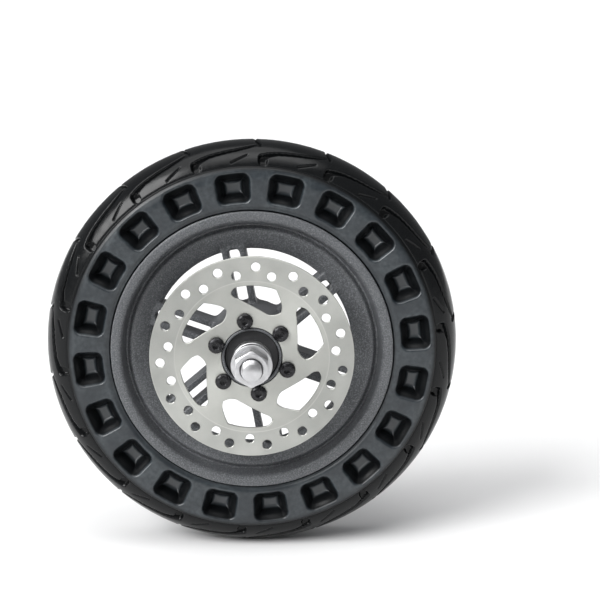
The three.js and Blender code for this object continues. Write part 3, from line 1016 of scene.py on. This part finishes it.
def make_hardware(zinc, rubber):
    """The bearing spacer, and the bushes, dust caps, washers and nuts on both sides."""
    on_axle = (zinc, "axle", "zinc_steel")
    on_wheel = (rubber, "wheel", "seal_rubber")
    turned_piece("bearing_spacer_tube", SPACER_CORNERS, 1, *on_axle, ["bearing_spacer"])
    for name, side in SIDES.items():
        for piece, node, corners, finish in (
            ("axle_bush_turned", "axle_bush", BUSH_CORNERS, on_axle),
            ("dust_cap_moulded", "dust_cap", CAP_CORNERS, on_wheel),
            ("washer_pressed", "washer", WASHER_CORNERS, on_axle),
        ):
            turned_piece(f"{piece}_{name}", corners, side, *finish, [f"{node}_{name}"])
        make_nut(f"axle_nut_hex_{name}", side, zinc, f"axle_nut_{name}")


def dress_cad_nodes(finishes):
    """Puts a procedural material on each CAD node that stays."""
    for start, material in finishes:
        for node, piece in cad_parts.items():
            if node.startswith(start):
                for slot in piece.material_slots:
                    slot.material = material


# ---------- stage, lights and camera ----------


def plain_material(name, color, roughness):
    material = bpy.data.materials.new(name)
    material.use_nodes = True
    shader = material.node_tree.nodes["Principled BSDF"]
    shader.inputs["Base Color"].default_value = (*color, 1.0)
    shader.inputs["Roughness"].default_value = roughness
    return material


FLOOR_REACH = 60.0  # metres; past it only the world shows, in low views
FLOOR_DROP = 0.0003  # metres that the floor lies below the tyre


def make_floor():
    reach = FLOOR_REACH
    level = cad_bounds[0][2] - FLOOR_DROP
    mesh = bpy.data.meshes.new("floor")
    corners = [(x * reach, y * reach, level) for x, y in ((-1, -1), (1, -1), (1, 1), (-1, 1))]
    mesh.from_pydata(corners, [], [(0, 1, 2, 3)])
    mesh.materials.append(plain_material("pale_floor", (0.88, 0.88, 0.88), 0.8))
    floor = bpy.data.objects.new("floor", mesh)
    bpy.context.scene.collection.objects.link(floor)


def aimed_light(name, kind, place, strength):
    """A lamp at a place, turned towards the middle of the wheel."""
    light = bpy.data.lights.new(name, kind)
    light.energy = strength
    lamp = bpy.data.objects.new(name, light)
    lamp.location = place
    lamp.rotation_euler = (-Vector(place)).to_track_quat("-Z", "Y").to_euler()
    bpy.context.scene.collection.objects.link(lamp)
    return light


def softbox(name, place, size, power):
    light = aimed_light(name, "AREA", place, power)
    light.shape = "RECTANGLE"
    light.size, light.size_y = size


SUNS = {  # place, strength and width in degrees
    "front_sky": ((-1.2, -0.95, 1.05), 3.5, 36.0),
    "top_sky": ((-0.2, -0.35, 2.0), 1.4, 60.0),
}
WORLD = {"color": (0.97, 0.98, 1.0, 1.0), "strength": 0.28}


def make_lights():
    """Two wide soft suns light the wheel and its floor evenly; a softbox above adds the sheen."""
    for name, (place, strength, width) in SUNS.items():
        aimed_light(name, "SUN", place, strength).angle = math.radians(width)
    softbox("overhead", (0.05, -0.35, 1.2), (0.8, 0.4), 2.0)
    world = bpy.data.worlds.new("studio")
    world.use_nodes = True
    background = world.node_tree.nodes["Background"]
    background.inputs["Color"].default_value = WORLD["color"]
    background.inputs["Strength"].default_value = WORLD["strength"]
    bpy.context.scene.world = world
    bpy.context.scene.view_settings.view_transform = "Standard"


CAMERA = {"place": (0.0095, -0.950, 0.2249), "yaw": 1.17, "pitch": -11.81, "lens": 96.3}


def make_camera():
    lens = bpy.data.cameras.new("camera")
    lens.lens = CAMERA["lens"]
    lens.sensor_width = 36.0
    lens.clip_start = 0.01
    camera = bpy.data.objects.new("camera", lens)
    camera.location = CAMERA["place"]
    yaw, pitch = math.radians(CAMERA["yaw"]), math.radians(CAMERA["pitch"])
    level = math.cos(pitch)
    forward = Vector((math.sin(yaw) * level, math.cos(yaw) * level, math.sin(pitch)))
    camera.rotation_euler = forward.to_track_quat("-Z", "Y").to_euler()
    bpy.context.scene.collection.objects.link(camera)
    bpy.context.scene.camera = camera


# ---------- making it all ----------

rubber = tyre_rubber()
coat = powder_coat()
stainless = ground_stainless()
oxide = black_oxide()
nitrile = matt_nitrile()
zinc = plated_steel("zinc_plated_steel", (0.62, 0.62, 0.63), 0.32)
bearing_steel = plated_steel("bearing_steel", (0.66, 0.65, 0.64), 0.18, 0.3)

make_tyre(rubber)
make_rim(coat)
make_disc(stainless)
make_bolts(oxide)
make_axle(zinc)
make_hardware(zinc, nitrile)
dress_cad_nodes([("bearing_", bearing_steel), ("bearing_seal_", nitrile)])
make_floor()
make_lights()
make_camera()

bpy.context.view_layer.update()
